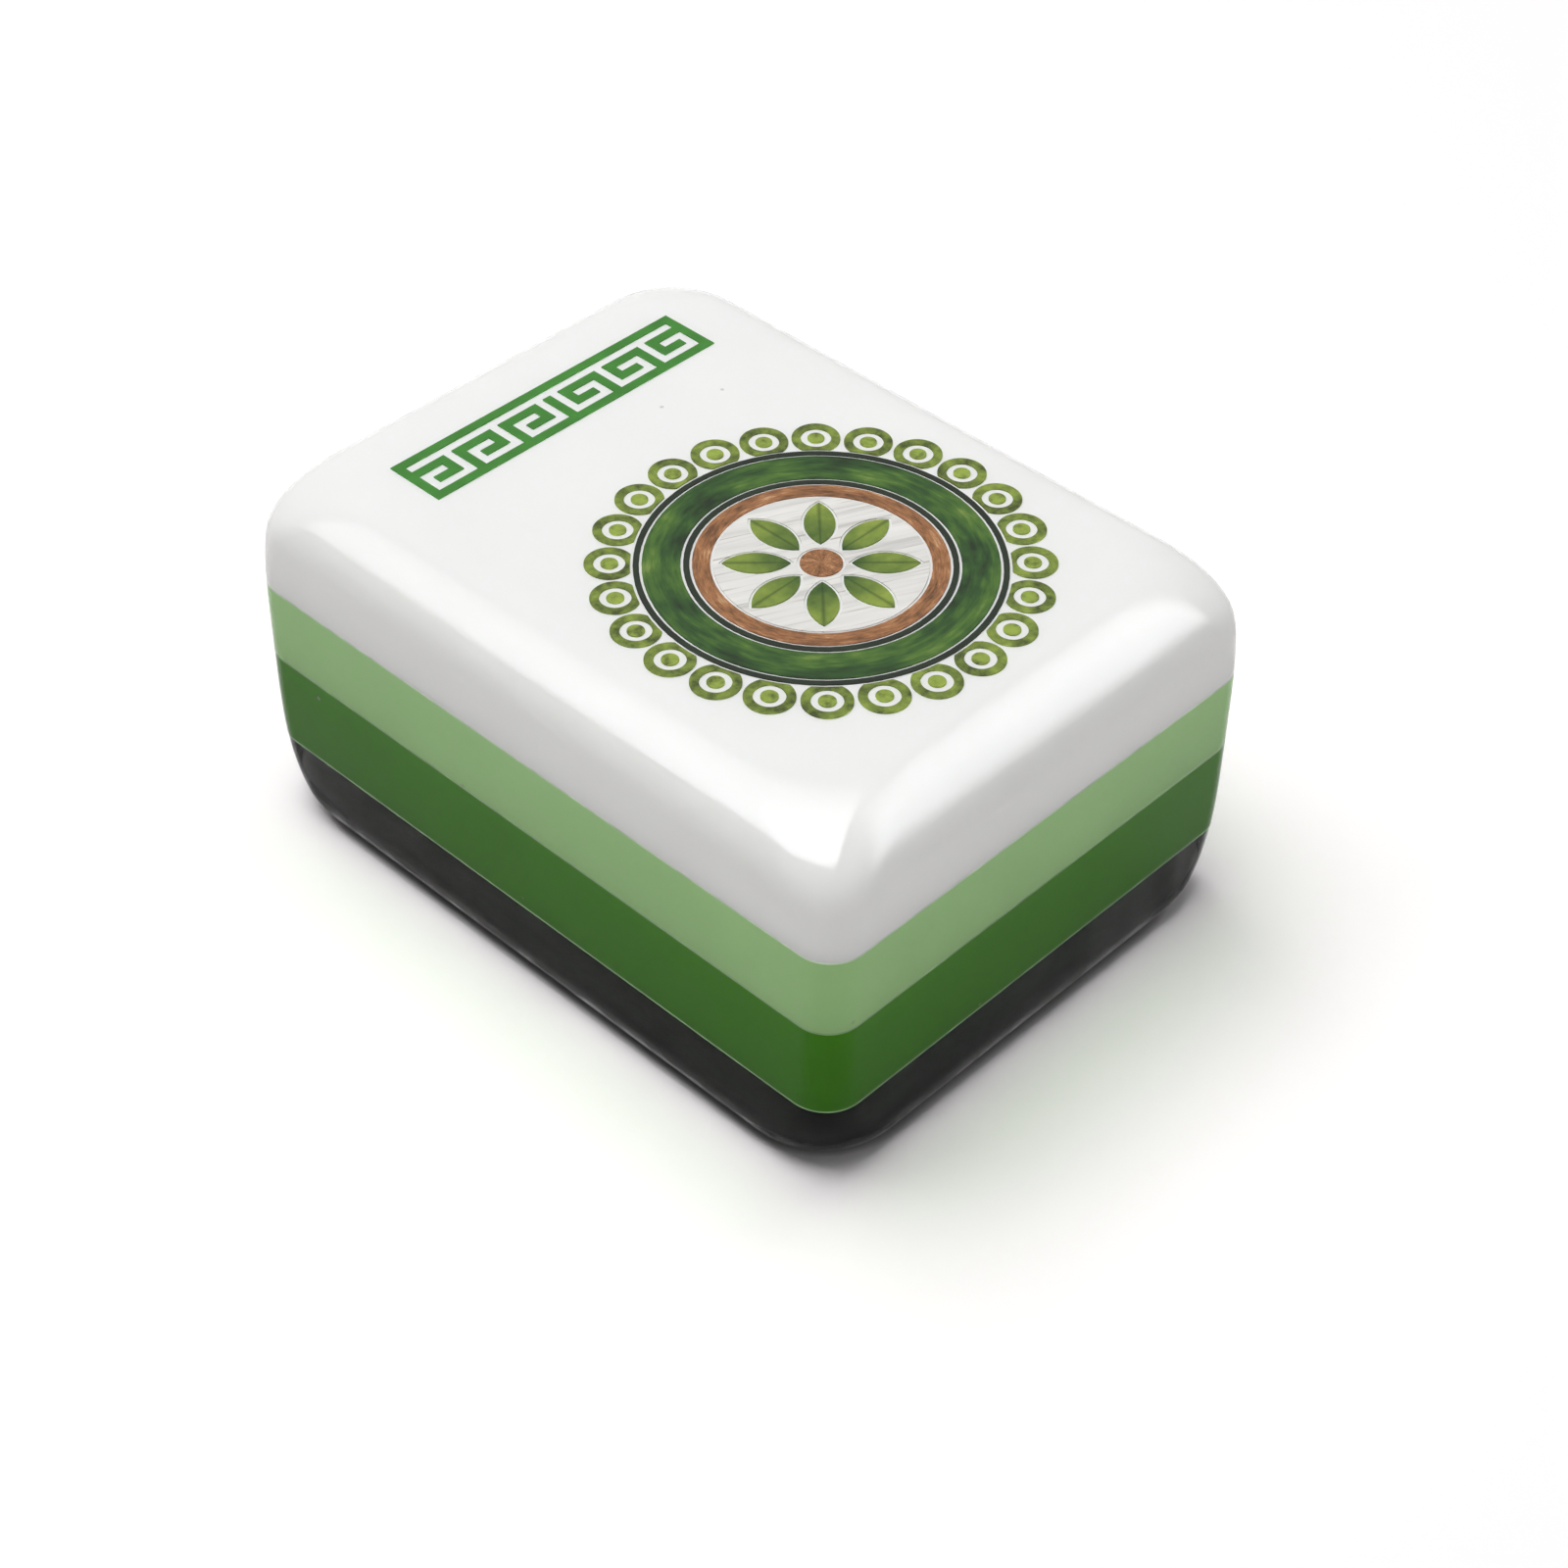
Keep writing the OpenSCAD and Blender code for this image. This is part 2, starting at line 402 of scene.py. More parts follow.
def ramp(tree, factor, *stops):
    """Colour output of a Color Ramp node with stops of place and colour."""
    node = add(tree, "ShaderNodeValToRGB", {"Fac": factor})
    elements = node.color_ramp.elements
    while len(elements) < len(stops):
        elements.new(1)
    for element, (place, shade) in zip(elements, stops):
        element.position = place
        element.color = (*shade, 1)
    return node.outputs["Color"]


def stretched(tree, scale, turn=0.0):
    """Object coordinates, turned about the upright axis and then scaled along each axis."""
    place = add(tree, "ShaderNodeTexCoord").outputs["Object"]
    turned = add(tree, "ShaderNodeMapping", {"Vector": place, "Rotation": (0, 0, turn)}, vector_type="POINT")
    return add(
        tree, "ShaderNodeMapping", {"Vector": turned.outputs[0], "Scale": scale}, vector_type="POINT"
    ).outputs[0]


def noise(tree, vector, scale=1.0, detail=2.0, roughness=0.5):
    """Value output of a Noise Texture node."""
    inputs = {"Vector": vector, "Scale": scale, "Detail": detail, "Roughness": roughness}
    return add(tree, "ShaderNodeTexNoise", inputs).outputs["Fac"]


def shade(rgb, factor):
    """A colour made lighter or darker."""
    return tuple(min(1, part * factor) for part in rgb)


def mixed(first, second, share):
    """A colour between two others."""
    return tuple(a + (b - a) * share for a, b in zip(first, second))


def new_material(name):
    """A material with its node tree, its Principled shader and its output."""
    material = bpy.data.materials.new(name)
    material.use_nodes = True
    tree = material.node_tree
    return material, tree, tree.nodes["Principled BSDF"], tree.nodes["Material Output"]


def new_group(name, inputs, outputs):
    """A shader node group with its two ends: inputs are (name, kind, default), outputs are (name, kind)."""
    tree = bpy.data.node_groups.new(name, "ShaderNodeTree")
    for label, kind, default in inputs:
        tree.interface.new_socket(label, in_out="INPUT", socket_type=kind).default_value = default
    for label, kind in outputs:
        tree.interface.new_socket(label, in_out="OUTPUT", socket_type=kind)
    return tree, tree.nodes.new("NodeGroupInput").outputs, tree.nodes.new("NodeGroupOutput").inputs


def place_group(tree, build, inputs=None):
    """Places a node group in a tree, built the first time that it is asked for."""
    group = bpy.data.node_groups.get(build.__name__) or build()
    return add(tree, "ShaderNodeGroup", inputs, node_tree=group).outputs


# Effects that several finishes share


def polish_marks():
    """Haze, hairline scratches and small nicks of a polish: a roughness, a height and a mask."""
    tree, given, out = new_group(
        "polish_marks",
        [
            ("Gloss", "NodeSocketFloat", 0.03),
            ("Haze", "NodeSocketFloat", 0.03),
            ("Scratches", "NodeSocketFloat", 0.1),
        ],
        [("Roughness", "NodeSocketFloat"), ("Height", "NodeSocketFloat"), ("Nicks", "NodeSocketFloat")],
    )
    haze = remap(tree, noise(tree, stretched(tree, (350, 350, 350)), detail=4), 0.35, 0.7)
    patches = remap(tree, noise(tree, stretched(tree, (240, 240, 240), 0.7), detail=1), 0.5, 0.62)
    lines = 0.0
    for turn in (0.5, 1.9, 2.6):
        streaks = noise(tree, stretched(tree, (150, 9000, 2500), turn), detail=1)
        thin = remap(tree, maths(tree, "ABSOLUTE", maths(tree, "SUBTRACT", streaks, 0.5)), 0, 0.02, 1, 0)
        lines = maths(tree, "MAXIMUM", lines, thin)
    lines = maths(tree, "MULTIPLY", lines, patches)
    rough = maths(tree, "MULTIPLY_ADD", haze, given["Haze"], given["Gloss"])
    tree.links.new(maths(tree, "MULTIPLY_ADD", lines, given["Scratches"], rough), out["Roughness"])
    tree.links.new(maths(tree, "SUBTRACT", 1, lines), out["Height"])
    nicks = add(
        tree, "ShaderNodeTexVoronoi", {"Vector": stretched(tree, (330, 330, 330), 0.3), "Scale": 1}
    ).outputs["Distance"]
    tree.links.new(remap(tree, nicks, 0.015, 0.04, 1, 0), out["Nicks"])
    return tree


def round_coordinates():
    """Coordinates that run round the round design, with no seam: a vector, a turn and a radius."""
    tree, given, out = new_group(
        "round_coordinates",
        [("Along", "NodeSocketFloat", 3.0), ("Across", "NodeSocketFloat", 4000.0)],
        [("Vector", "NodeSocketVector"), ("Turn", "NodeSocketFloat"), ("Radius", "NodeSocketFloat")],
    )
    place = add(tree, "ShaderNodeTexCoord").outputs["Object"]
    centre = (DESIGN_CENTRE.x, DESIGN_CENTRE.y, 0)
    middle = add(
        tree, "ShaderNodeVectorMath", {0: place, 1: centre}, operation="SUBTRACT"
    ).outputs["Vector"]
    parts = add(tree, "ShaderNodeSeparateXYZ", {"Vector": middle}).outputs
    flat = add(tree, "ShaderNodeCombineXYZ", {"X": parts["X"], "Y": parts["Y"]}).outputs["Vector"]
    radius = add(tree, "ShaderNodeVectorMath", {0: flat}, operation="LENGTH").outputs["Value"]
    heading = add(tree, "ShaderNodeVectorMath", {0: flat}, operation="NORMALIZE").outputs["Vector"]
    heading = add(tree, "ShaderNodeSeparateXYZ", {"Vector": heading}).outputs
    streaked = add(
        tree, "ShaderNodeCombineXYZ",
        {
            "X": maths(tree, "MULTIPLY", heading["X"], given["Along"]),
            "Y": maths(tree, "MULTIPLY", heading["Y"], given["Along"]),
            "Z": maths(tree, "MULTIPLY", radius, given["Across"]),
        },
    ).outputs["Vector"]
    tree.links.new(streaked, out["Vector"])
    tree.links.new(maths(tree, "ARCTAN2", parts["Y"], parts["X"]), out["Turn"])
    tree.links.new(radius, out["Radius"])
    return tree


def ink_film():
    """Grain of a printed ink: a tone to darken or lighten its colour, a roughness and a height for a bump."""
    tree, given, out = new_group(
        "ink_film",
        [("Grain", "NodeSocketFloat", 6000.0), ("Sheen", "NodeSocketFloat", 0.28)],
        [("Tone", "NodeSocketFloat"), ("Roughness", "NodeSocketFloat"), ("Height", "NodeSocketFloat")],
    )
    place = add(tree, "ShaderNodeTexCoord").outputs["Object"]
    dots = noise(tree, place, scale=given["Grain"], detail=3)
    clouds = noise(tree, place, scale=700, detail=4, roughness=0.6)
    tree.links.new(remap(tree, clouds, 0.3, 0.7), out["Tone"])
    tree.links.new(maths(tree, "MULTIPLY_ADD", dots, 0.12, given["Sheen"]), out["Roughness"])
    tree.links.new(dots, out["Height"])
    return tree


def painted_joint_shade():
    """Painted light and shade between sheets: the colour is painted lighter under the upper joint and darker
    over the lower one.
    """
    tree, given, out = new_group(
        "painted_joint_shade",
        [
            ("Low", "NodeSocketFloat", 0.0),
            ("High", "NodeSocketFloat", 0.01),
            ("Reach", "NodeSocketFloat", MM),
            ("Gain", "NodeSocketFloat", 0.0),
            ("Painted Shade", "NodeSocketFloat", 0.1),
        ],
        [("Level", "NodeSocketFloat")],
    )
    place = add(tree, "ShaderNodeTexCoord").outputs["Object"]
    z = add(tree, "ShaderNodeSeparateXYZ", {"Vector": place}).outputs["Z"]
    over = maths(tree, "DIVIDE", maths(tree, "SUBTRACT", given["Low"], z), given["Reach"])
    under = maths(tree, "DIVIDE", maths(tree, "SUBTRACT", z, given["High"]), given["Reach"])
    painted_shade_share = maths(tree, "MULTIPLY", maths(tree, "EXPONENT", over), given["Painted Shade"])
    painted_light_share = maths(tree, "MULTIPLY_ADD", maths(tree, "EXPONENT", under), given["Gain"], 1)
    tree.links.new(maths(tree, "SUBTRACT", painted_light_share, painted_shade_share), out["Level"])
    return tree


def add_bump(tree, shader, height, distance, strength=0.3):
    """Joins a height to a shader's normal."""
    bump = add(tree, "ShaderNodeBump", {"Height": height, "Distance": distance, "Strength": strength})
    tree.links.new(bump.outputs["Normal"], shader.inputs["Normal"])


# Finishes of the acrylic layers


def polished_acrylic(name, rgb, nick, cloud, depth, body, painted_joint_shading):
    """Cast acrylic: a colour with faint clouds in it, painted light and shade near its joints, light that
    soaks in a little, and a polished skin.
    """
    material, tree, shader, _ = new_material(name)
    marks = place_group(tree, polish_marks, {"Gloss": 0.04, "Haze": 0.03, "Scratches": 0.08})
    clouds = noise(tree, stretched(tree, (160, 160, 160)), detail=5, roughness=0.55)
    rgb_out = mix(tree, remap(tree, clouds, 0.3, 0.7), shade(rgb, 1 - cloud), shade(rgb, 1 + cloud))
    # Painted light and shade: the colour is painted darker over the lower joint and lighter under the upper
    # one
    level = place_group(tree, painted_joint_shade, painted_joint_shading)["Level"]
    rgb_out = mix(tree, 1, rgb_out, level, "MULTIPLY")
    marked = mix(tree, maths(tree, "MULTIPLY", marks["Nicks"], NICK_SHARE), rgb_out, nick)
    tree.links.new(marked, shader.inputs["Base Color"])
    tree.links.new(marks["Roughness"], shader.inputs["Roughness"])
    shader.inputs["IOR"].default_value = POLISH_INDEX
    shader.inputs["Subsurface Weight"].default_value = body
    shader.inputs["Subsurface Radius"].default_value = depth
    shader.inputs["Subsurface Scale"].default_value = MM
    add_bump(tree, shader, marks["Height"], POLISH_DEPTH)
    return material


def smoke_acrylic(rgb, density, painted_line_height, painted_line_reach):
    """Clear acrylic with a deep smoke tint and a painted highlight: coat raised in streaks where it turns
    away and in a fine bright line.
    """
    material, tree, shader, output = new_material("smoke_acrylic")
    marks = place_group(tree, polish_marks, {"Gloss": 0.02, "Haze": 0.03, "Scratches": 0.1})
    tree.links.new(marks["Roughness"], shader.inputs["Roughness"])
    shader.inputs["Base Color"].default_value = (0.9, 0.9, 0.9, 1)
    shader.inputs["IOR"].default_value = POLISH_INDEX
    shader.inputs["Transmission Weight"].default_value = 1
    place = add(tree, "ShaderNodeTexCoord").outputs["Object"]
    z = add(tree, "ShaderNodeSeparateXYZ", {"Vector": place}).outputs["Z"]
    # Painted highlight: a band of coat along the line where the lower rounding starts
    off_line = maths(tree, "ABSOLUTE", maths(tree, "SUBTRACT", z, painted_line_height))
    line = remap(tree, off_line, 0, painted_line_reach, PAINTED_LINE_COAT, 0)
    # Painted highlight streaks: more coat where the slab turns away from the eye
    facing = add(tree, "ShaderNodeLayerWeight").outputs["Facing"]
    streaks = remap(tree, noise(tree, stretched(tree, PAINTED_STREAK_SCALE)), 0.42, 0.6)
    ends = maths(tree, "MULTIPLY", remap(tree, facing, PAINTED_STREAK_START, PAINTED_STREAK_FULL), streaks)
    tree.links.new(maths(tree, "MAXIMUM", line, ends), shader.inputs["Coat Weight"])
    tint = add(tree, "ShaderNodeVolumeAbsorption", {"Color": (*rgb, 1), "Density": density})
    tree.links.new(tint.outputs["Volume"], output.inputs["Volume"])
    add_bump(tree, shader, marks["Height"], POLISH_DEPTH)
    return material


def glue_line(name, face_rgb, edge_rgb):
    """Clear film between two layers: its faces take a layer's colour, and its cut edge takes a mottled colour
    of its own.
    """
    material, tree, shader, _ = new_material(name)
    normal = add(tree, "ShaderNodeNewGeometry").outputs["Normal"]
    upright = add(tree, "ShaderNodeSeparateXYZ", {"Vector": normal}).outputs["Z"]
    edge = maths(tree, "LESS_THAN", maths(tree, "ABSOLUTE", upright), 0.5)
    edge_mottle = remap(tree, noise(tree, stretched(tree, (900, 900, 900)), detail=3), 0.3, 0.7)
    edge_tone = mix(tree, edge_mottle, shade(edge_rgb, 0.7), shade(edge_rgb, 1.2))
    tree.links.new(mix(tree, edge, face_rgb, edge_tone), shader.inputs["Base Color"])
    tree.links.new(remap(tree, edge_mottle, 0, 1, 0.1, 0.25), shader.inputs["Roughness"])
    return material


# Finishes of the inks


def start_ink(name, sheen=0.28):
    """A printed ink with its grain, waiting for its colour."""
    material, tree, shader, _ = new_material(name)
    film = place_group(tree, ink_film, {"Sheen": sheen})
    tree.links.new(film["Roughness"], shader.inputs["Roughness"])
    # The ink has no real gloss: lay_ink paints its sheen into the colour
    shader.inputs["Specular IOR Level"].default_value = 0
    add_bump(tree, shader, film["Height"], INK_DEPTH)
    return material, tree, shader, film


def lay_ink(tree, shader, toned):
    """Gives an ink its colour, with a painted pale sheen in place of the gloss that a printed film shows from
    every side.
    """
    tree.links.new(mix(tree, PAINTED_INK_SHEEN, toned, (1, 1, 1)), shader.inputs["Base Color"])


def even_ink(name, rgb, spread):
    """Ink of one colour, laid a little thicker here and thinner there."""
    material, tree, shader, film = start_ink(name)
    toned = mix(tree, film["Tone"], shade(rgb, 1 - spread), shade(rgb, 1 + spread))
    lay_ink(tree, shader, toned)
    return material


def brushed_ring_ink(rgb):
    """Deep ink brushed round the ring, with lighter and darker streaks along it."""
    material, tree, shader, _ = start_ink("deep_ink")
    broad = place_group(tree, round_coordinates, {"Along": 2.2, "Across": 700.0})
    fine = place_group(tree, round_coordinates, {"Along": 5.0, "Across": 5200.0})
    wash = noise(tree, broad["Vector"], detail=3)
    hairs = noise(tree, fine["Vector"], detail=3, roughness=0.6)
    level = maths(tree, "MULTIPLY_ADD", hairs, 0.35, maths(tree, "MULTIPLY", wash, 0.75))
    toned = ramp(
        tree, level,
        (0.38, shade(rgb, 0.3)), (0.52, rgb), (0.64, (0.075, 0.17, 0.02)), (0.74, (0.2, 0.29, 0.06)),
    )
    lay_ink(tree, shader, toned)
    return material


def copper_ink(rgb):
    """Copper-brown ink with a fine grain that runs round the ring."""
    material, tree, shader, _ = start_ink("copper_ink", 0.24)
    broad = place_group(tree, round_coordinates, {"Along": 3.0, "Across": 1800.0})
    fine = place_group(tree, round_coordinates, {"Along": 9.0, "Across": 12000.0})
    wash = noise(tree, broad["Vector"], detail=2)
    hairs = noise(tree, fine["Vector"], detail=4, roughness=0.65)
    level = maths(tree, "MULTIPLY_ADD", hairs, 0.6, maths(tree, "MULTIPLY", wash, 0.5))
    toned = ramp(
        tree, level,
        (0.36, shade(rgb, 0.22)), (0.5, shade(rgb, 0.8)), (0.62, shade(rgb, 1.35)), (0.74, (0.62, 0.4, 0.22)),
    )
    lay_ink(tree, shader, toned)
    return material


def grained_ivory_ink(rgb):
    """Ivory ink with fine straight lines of grey and brown grain."""
    material, tree, shader, _ = start_ink("ivory_ink", 0.3)
    broad = noise(tree, stretched(tree, (90, 1500, 1), 0.45), detail=4, roughness=0.6)
    fine = noise(tree, stretched(tree, (160, 7000, 1), 0.45), detail=3, roughness=0.6)
    base = ramp(tree, broad, (0.3, shade(rgb, 0.72)), (0.48, rgb), (0.7, shade(rgb, 1.12)))
    lines = remap(tree, fine, 0.3, 0.42, 1, 0)
    lined = mix(tree, maths(tree, "MULTIPLY", lines, 0.75), base, (0.3, 0.25, 0.19))
    lay_ink(tree, shader, lined)
    return material


def petal_ink(deep, lime, petals):
    """Green ink that runs from deep at the foot of a petal to lime at its tip, darker along its middle."""
    material, tree, shader, film = start_ink("petal_ink")
    place = place_group(tree, round_coordinates, {"Along": 4.0, "Across": 2500.0})
    inner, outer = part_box("petal_print")
    tip = (outer.x - inner.x) / 2
    rise = remap(tree, place["Radius"], 0.3 * tip, tip)
    vein = maths(tree, "ABSOLUTE", maths(tree, "SINE", maths(tree, "MULTIPLY", place["Turn"], petals / 2)))
    vein = remap(tree, vein, 0.0, 0.16, 1, 0)
    level = maths(tree, "MULTIPLY_ADD", film["Tone"], 0.5, maths(tree, "MULTIPLY", rise, 0.6))
    toned = ramp(
        tree, level,
        (0.1, shade(deep, 0.8)), (0.5, mixed(deep, lime, 0.35)), (0.95, shade(lime, 0.9)),
    )
    toned = mix(tree, maths(tree, "MULTIPLY", vein, 0.6), toned, shade(deep, 0.5))
    lay_ink(tree, shader, toned)
    return material


def foliage_ink(name, low, high):
    """Ink mottled like leaves, between two greens."""
    material, tree, shader, film = start_ink(name)
    place = add(tree, "ShaderNodeTexCoord").outputs["Object"]
    mottle = noise(tree, place, scale=1900, detail=5, roughness=0.65)
    level = maths(tree, "MULTIPLY_ADD", mottle, 0.8, maths(tree, "MULTIPLY", film["Tone"], 0.2))
    toned = ramp(tree, level, (0.36, shade(low, 0.35)), (0.5, low), (0.64, high))
    lay_ink(tree, shader, toned)
    return material


# Operators, one for each piece or group of like pieces


def tile_settings(context):
    """The scene's own copy of the properties."""
    scene = context.scene
    return scene.tile_shape, scene.tile_colours, scene.tile_stage


class TILE_OT_face_slab(Operator):
    """Models the white slab, rounded over all round the edge of the face"""

    bl_idname = "tile.face_slab"
    bl_label = "Face slab"

    def execute(self, context):
        shape, colours, _ = tile_settings(context)
        low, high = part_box("face_layer")
        rounding = [high.z - depth for depth in reversed(edge_depths(shape, shape.face_edge))]
        heights = side_heights(shape, low.z, rounding[0]) + rounding[1:]
        piece = loft("face_slab", shape, heights)
        white = polished_acrylic(
            "white_acrylic", tuple(colours.white), tuple(colours.nick),
            cloud=0.012, depth=(0.9, 0.85, 0.75), body=0.25,
            # Painted shade: the white is painted darker towards its lower joint
            painted_joint_shading={"Low": low.z, "High": high.z, "Reach": shape.white_bleed, "Gain": 0.0, "Painted Shade": 0.13},
        )
        finish_layer(piece, "face_layer", white)
        return {"FINISHED"}


class TILE_OT_green_sheets(Operator):
    """Models the pale and the dark green sheets in the middle of the block"""

    bl_idname = "tile.green_sheets"
    bl_label = "Green sheets"

    def execute(self, context):
        shape, colours, _ = tile_settings(context)
        # Painted light and shade: each green sheet is painted lighter under its upper joint and darker over
        # its lower one
        for kind, rgb, painted_light_share in (("pale", colours.pale, 0.05), ("dark", colours.dark, 0.16)):
            low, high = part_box(f"{kind}_layer")
            piece = loft(f"{kind}_sheet", shape, side_heights(shape, low.z, high.z))
            slot = f"{kind}_acrylic"
            green = polished_acrylic(
                slot, tuple(rgb), tuple(colours.nick),
                cloud=0.04, depth=(0.3, 0.6, 0.2), body=0.2,
                painted_joint_shading={"Low": low.z, "High": high.z, "Reach": shape.green_bleed, "Gain": painted_light_share, "Painted Shade": 0.18},
            )
            finish_layer(piece, f"{kind}_layer", green)
        return {"FINISHED"}


class TILE_OT_smoke_slab(Operator):
    """Models the smoke-tinted clear slab, rounded along the edge of the underside"""

    bl_idname = "tile.smoke_slab"
    bl_label = "Smoke slab"

    def execute(self, context):
        shape, colours, _ = tile_settings(context)
        low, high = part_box("base_layer")
        rounding = [low.z + depth for depth in edge_depths(shape, shape.base_edge)]
        heights = rounding[:-1] + side_heights(shape, rounding[-1], high.z + shape.wetting)
        piece = loft("smoke_slab", shape, heights)
        smoke = smoke_acrylic(tuple(colours.smoke), colours.smoke_density, rounding[-1], shape.bright_line)
        finish_layer(piece, "base_layer", smoke)
        return {"FINISHED"}


class TILE_OT_glue_lines(Operator):
    """Finishes the clear films between the layers"""

    bl_idname = "tile.glue_lines"
    bl_label = "Glue lines"

    def execute(self, context):
        _, colours, _ = tile_settings(context)
        white, pale, dark = tuple(colours.white), tuple(colours.pale), tuple(colours.dark)
        dress("face_bond", glue_line("face_glue", white, mixed(white, pale, 0.5)))
        dress("middle_bond", glue_line("middle_glue", pale, mixed(pale, dark, 0.5)))
        dress("base_bond", glue_line("base_glue", dark, tuple(colours.glue_edge)))
        return {"FINISHED"}


class TILE_OT_fret_band(Operator):
    """Finishes the fret band at the upper end of the face"""

    bl_idname = "tile.fret_band"
    bl_label = "Fret band"

    def execute(self, context):
        _, colours, _ = tile_settings(context)
        dress("fret_print", even_ink("leaf_ink", tuple(colours.leaf), 0.16))
        return {"FINISHED"}


class TILE_OT_round_design(Operator):
    """Finishes the inks of the round design"""

    bl_idname = "tile.round_design"
    bl_label = "Round design"

    petals: IntProperty(name="Petals", description="Number of petals on the disc", default=8, min=2)

    def execute(self, context):
        _, colours, _ = tile_settings(context)
        deep, lime, olive = tuple(colours.deep), tuple(colours.lime), tuple(colours.olive)
        dress("scallop_print", foliage_ink("olive_ink", olive, mixed(olive, lime, 0.6)))
        dress("bead_print", foliage_ink("lime_ink", mixed(olive, lime, 0.6), lime))
        dress("outline_print", even_ink("night_ink", tuple(colours.night), 0.4))
        dress("ring_print", brushed_ring_ink(deep))
        dress("copper_print", copper_ink(tuple(colours.copper)))
        dress("disc_print", grained_ivory_ink(tuple(colours.ivory)))
        dress("petal_print", petal_ink(deep, lime, self.petals))
        return {"FINISHED"}


# Stage


def seen_directly(tree):
    """1 on rays that the camera sees, in polished and clear surfaces too, 0 on rays that carry light."""
    path = add(tree, "ShaderNodeLightPath").outputs
    seen = maths(tree, "MAXIMUM", path["Is Camera Ray"], path["Is Glossy Ray"])
    seen = maths(tree, "MAXIMUM", seen, path["Is Transmission Ray"])
    return maths(tree, "MULTIPLY", seen, maths(tree, "LESS_THAN", path["Diffuse Depth"], 0.5))


def studio_floor(stage):
    """White floor that keeps the tile's shadow, has a painted contact shadow close to the tile, and is seen
    as plain white further out.
    """
    material, tree, shader, output = new_material("studio_floor")
    tone = remap(tree, seen_directly(tree), 0, 1, stage.floor_tone, stage.floor_shown)
    # Painted contact shadow: the floor's seen colour is darkened where the tile shuts out the sky
    sky = add(tree, "ShaderNodeAmbientOcclusion", {"Distance": stage.contact_reach}, samples=8).outputs["AO"]
    unseen = maths(tree, "SUBTRACT", 1, add(tree, "ShaderNodeLightPath").outputs["Is Camera Ray"])
    contact = remap(tree, sky, PAINTED_SHADOW_FULL, PAINTED_SHADOW_GONE, stage.contact_tone, 1)
    tone = maths(tree, "MULTIPLY", tone, maths(tree, "MAXIMUM", contact, unseen))
    tone = mix(tree, 1, tone, tuple(stage.floor_tint), "MULTIPLY")
    matt = add(tree, "ShaderNodeBsdfDiffuse", {"Color": tone}).outputs["BSDF"]
    place = add(tree, "ShaderNodeTexCoord").outputs["Object"]
    out = add(tree, "ShaderNodeVectorMath", {0: place}, operation="LENGTH").outputs["Value"]
    far = maths(tree, "MULTIPLY", remap(tree, out, *stage.floor_fade), seen_directly(tree))
    plain = add(tree, "ShaderNodeEmission").outputs["Emission"]
    faded = add(tree, "ShaderNodeMixShader", {0: far, 1: matt, 2: plain}).outputs["Shader"]
    tree.links.new(faded, output.inputs["Surface"])
    tree.nodes.remove(shader)
    return material


def studio_world(stage):
    """Even light from all round and a glow low down on the near side, both seen as white."""
    world = bpy.data.worlds.new("studio_world")
    world.use_nodes = True
    tree = world.node_tree
    heading = add(tree, "ShaderNodeTexCoord").outputs["Generated"]
    side = add(
        tree, "ShaderNodeVectorMath", {0: heading, 1: tuple(stage.glow_side)}, operation="DOT_PRODUCT"
    ).outputs["Value"]
    height = add(tree, "ShaderNodeSeparateXYZ", {"Vector": heading}).outputs["Z"]
    sideways = remap(tree, side, *stage.glow_spread)
    low_down = remap(tree, height, *stage.glow_height, 1, 0)
    glow = maths(tree, "MULTIPLY", sideways, low_down)
    light = maths(tree, "MULTIPLY_ADD", glow, stage.glow_level, stage.fill_level)
    level = remap(tree, seen_directly(tree), 0, 1, light, 1)
    tree.links.new(level, tree.nodes["Background"].inputs["Strength"])
    tree.nodes["Background"].inputs["Color"].default_value = (1, 1, 1, 1)
    return world


def place_camera(stage):
    """Camera that looks at the aim point from the stage's azimuth, elevation and distance."""
    turn = Matrix.Rotation(stage.azimuth, 3, "Z") @ Matrix.Rotation(math.pi / 2 - stage.elevation, 3, "X")
    turn = turn @ Matrix.Rotation(stage.roll, 3, "Z")
    back = turn @ Vector((0, 0, 1))
    deselect_all()
    bpy.ops.object.camera_add(location=Vector(stage.aim) + back * stage.distance, rotation=turn.to_euler())
    camera = bpy.context.object
    camera.name = "tile_camera"
    camera.data.lens = stage.lens
    camera.data.clip_start = CLIP_START
    return camera


def place_key(stage):
    """Square soft box high over the upper end of the tile."""
    direction = Vector(stage.key_tilt).normalized()
    deselect_all()
    turn = direction.to_track_quat("Z", "Y").to_euler()
    bpy.ops.object.light_add(type="AREA", location=direction * stage.key_distance, rotation=turn)
    lamp = bpy.context.object
    lamp.name = "key_soft_box"
    lamp.data.size = stage.key_width
    lamp.data.energy = stage.key_power
    lamp.visible_glossy = False
    lamp.visible_transmission = False


def card_light(name, level, rise, fall, left, right):
    """Light of a card that comes up over the rise, goes down after the fall, and fades at its two ends."""
    material, tree, shader, output = new_material(name)
    place = add(tree, "ShaderNodeTexCoord").outputs["UV"]
    share = add(tree, "ShaderNodeSeparateXYZ", {"Vector": place}).outputs
    light = level
    for axis, start, end in (("Y", rise, fall), ("X", left, right)):
        light = maths(tree, "MULTIPLY", light, remap(tree, share[axis], 0, start))
        light = maths(tree, "MULTIPLY", light, remap(tree, share[axis], end, 1, 1, 0))
    glow = add(tree, "ShaderNodeEmission", {"Strength": light})
    tree.links.new(glow.outputs["Emission"], output.inputs["Surface"])
    tree.nodes.remove(shader)
    return material


